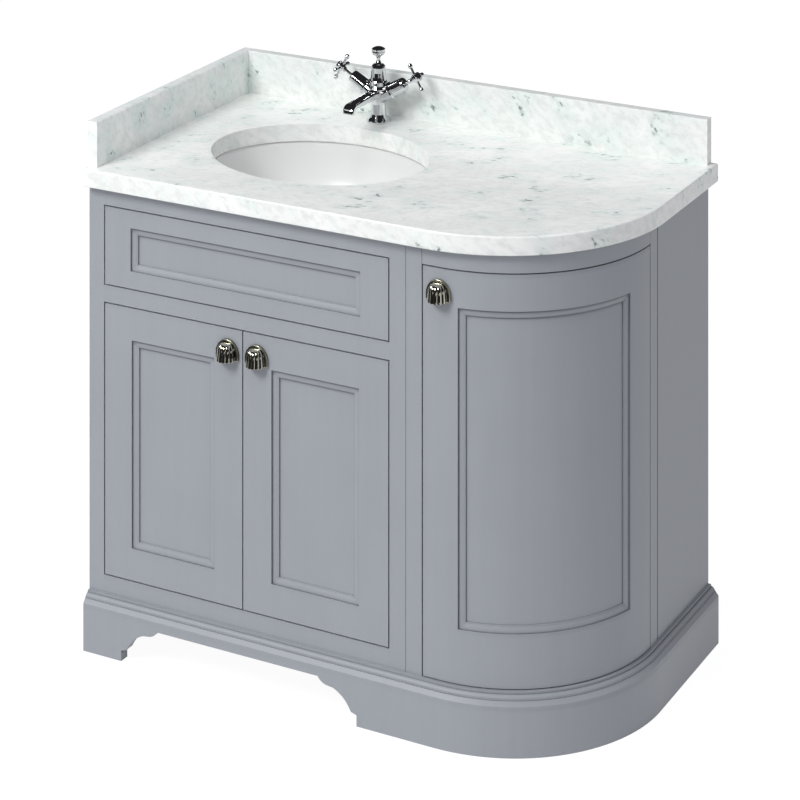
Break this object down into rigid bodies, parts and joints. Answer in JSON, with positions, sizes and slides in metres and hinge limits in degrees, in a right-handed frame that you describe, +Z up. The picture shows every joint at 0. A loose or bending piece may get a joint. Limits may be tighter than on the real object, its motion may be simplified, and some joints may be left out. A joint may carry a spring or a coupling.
{
  "type": "corner vanity unit",
  "caption": "Corner vanity unit with a marble top, undermounted oval basin, mixer tap, two flat framed doors, a false drawer front and a curved end door.",
  "frame": {"origin": "middle of the unit's footprint, on the floor", "axes": "+Z up, the doors face -Y, the back wall is at +Y, the side wall at -X and the curved end at +X"},
  "size_m": [0.981, 0.5594, 0.9914],
  "materials": {
    "painted_wood": "satin grey paint",
    "marble": "polished, pale with fine grey specks and streaks",
    "ceramic": "gloss white glaze",
    "chrome": "polished",
    "nickel": "polished, slightly warm",
    "brass": "turned",
    "steel": "plated"
  },
  "bodies": {
    "cabinet": {"left_side_panel": "painted_wood", "middle_panel_left": "painted_wood", "middle_panel_right": "painted_wood", "right_side_panel": "painted_wood", "left_back_rails": "painted_wood", "curved_back_panel": "painted_wood", "left_floor": "painted_wood", "curved_floor": "painted_wood", "curved_shelf": "painted_wood", "shelf_pins": "steel", "frame_left_stile": "painted_wood", "frame_right_stile": "painted_wood", "frame_top_rail": "painted_wood", "frame_middle_rail": "painted_wood", "frame_bottom_rail": "painted_wood", "curved_left_stile": "painted_wood", "curved_right_stile": "painted_wood", "curved_top_rail": "painted_wood", "worktop_blocks": "painted_wood", "pivot_bushes": "brass", "plinth_front": "painted_wood", "plinth_curve": "painted_wood", "plinth_left_board": "painted_wood", "plinth_cross_rails": "painted_wood", "plinth_moulding": "painted_wood", "drawer_front_frame": "painted_wood", "drawer_front_panel": "painted_wood", "drawer_front_battens": "painted_wood", "worktop": "marble", "left_upstand": "marble", "back_upstand": "marble", "basin": "ceramic", "basin_clips": "steel", "waste_body": "chrome", "waste_nut": "chrome", "tap_body": "chrome", "tap_spout": "chrome", "tap_bonnet": "chrome", "tap_backnut": "brass", "tap_tails": "steel", "hot_valve": "chrome", "cold_valve": "chrome"},
    "left_door": {"left_door_frame": "painted_wood", "left_door_panel": "painted_wood", "left_door_pins": "steel", "left_door_knob": "nickel"},
    "right_door": {"right_door_frame": "painted_wood", "right_door_panel": "painted_wood", "right_door_pins": "steel", "right_door_knob": "nickel"},
    "curved_door": {"curved_door_frame": "painted_wood", "curved_door_panel": "painted_wood", "curved_door_pins": "steel", "curved_door_knob": "nickel"},
    "lift": {"lift_knob": "chrome", "lift_strap": "steel"},
    "plug": {"waste_plug": "chrome"},
    "lever": {"plug_lever": "chrome"},
    "hot_handle": {"hot_handle": "chrome"},
    "cold_handle": {"cold_handle": "chrome"}
  },
  "joints": [
    {"name": "left_door_swing", "type": "hinge", "parent": "cabinet", "child": "left_door", "pos_m": [-0.43525, -0.24575, 0.375], "axis": [0, 0, -1], "range_deg": [0, 90]},
    {"name": "right_door_swing", "type": "hinge", "parent": "cabinet", "child": "right_door", "pos_m": [0.08765, -0.24575, 0.375], "axis": [0, 0, 1], "range_deg": [0, 95]},
    {"name": "curved_door_swing", "type": "hinge", "parent": "cabinet", "child": "curved_door", "pos_m": [0.462, -0.01075, 0.445], "axis": [0, 0, 1], "range_deg": [0, 95]},
    {"name": "lift_slide", "type": "slide", "parent": "cabinet", "child": "lift", "axis": [0, 0, 1], "range_m": [0, 0.03]},
    {"name": "lever_rock", "type": "hinge", "parent": "cabinet", "child": "lever", "pos_m": [-0.1625, 0.05075, 0.625], "axis": [1, 0, 0], "range_deg": [0, 10.08]},
    {"name": "plug_slide", "type": "slide", "parent": "cabinet", "child": "plug", "axis": [0, 0, 1], "range_m": [-0.0045, 0]},
    {"name": "hot_turn", "type": "hinge", "parent": "cabinet", "child": "hot_handle", "pos_m": [-0.24131, 0.21775, 0.943], "axis": [-0.866, 0, 0.5], "range_deg": [0, 90]},
    {"name": "cold_turn", "type": "hinge", "parent": "cabinet", "child": "cold_handle", "pos_m": [-0.08369, 0.21775, 0.943], "axis": [0.866, 0, 0.5], "range_deg": [0, 90]}
  ],
  "couplings": [
    {"joint": "lever_rock", "follows": "lift_slide", "rad_per_m": 5.833},
    {"joint": "plug_slide", "follows": "lift_slide", "ratio": -0.1462}
  ]
}
